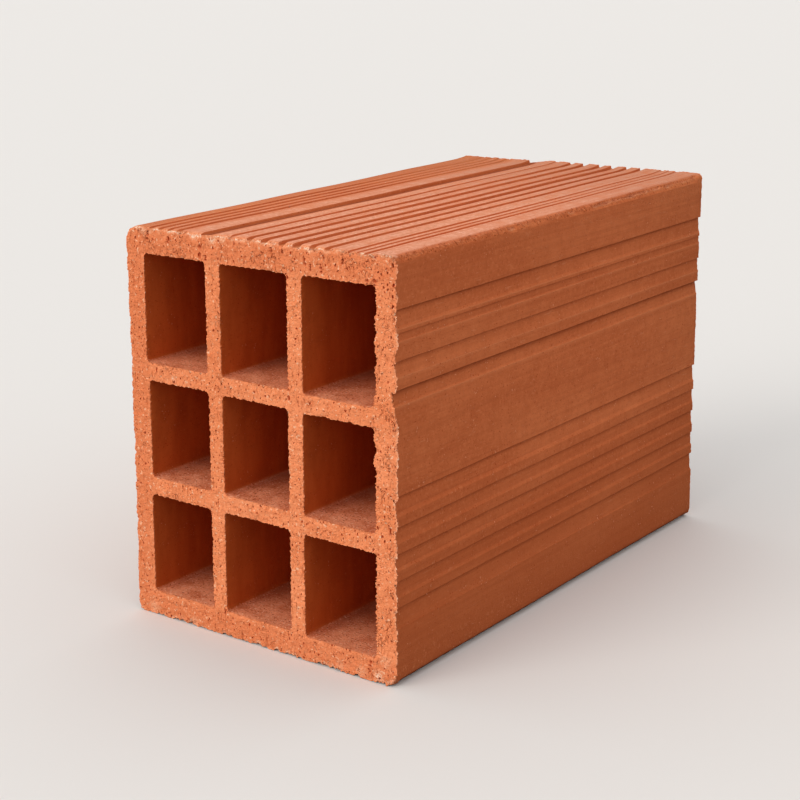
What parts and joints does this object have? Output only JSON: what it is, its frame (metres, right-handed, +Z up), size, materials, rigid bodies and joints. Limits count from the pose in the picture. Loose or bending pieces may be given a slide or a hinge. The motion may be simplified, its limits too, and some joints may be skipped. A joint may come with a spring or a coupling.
{
  "type": "hollow clay brick",
  "caption": "Extruded hollow clay brick with rectangular cells along its length and grooved faces that key mortar and plaster.",
  "frame": {"origin": "on the ground, at the middle of the rectangle that the brick covers", "axes": "+Z up, +Y along the cells and away from the wire-cut end that the picture shows, +X towards the grooved long face that it shows"},
  "size_m": [0.1526, 0.28, 0.19],
  "materials": {
    "fired_clay": "matte, unglazed"
  },
  "bodies": {
    "root": {"brick": "fired_clay"}
  },
  "joints": []
}
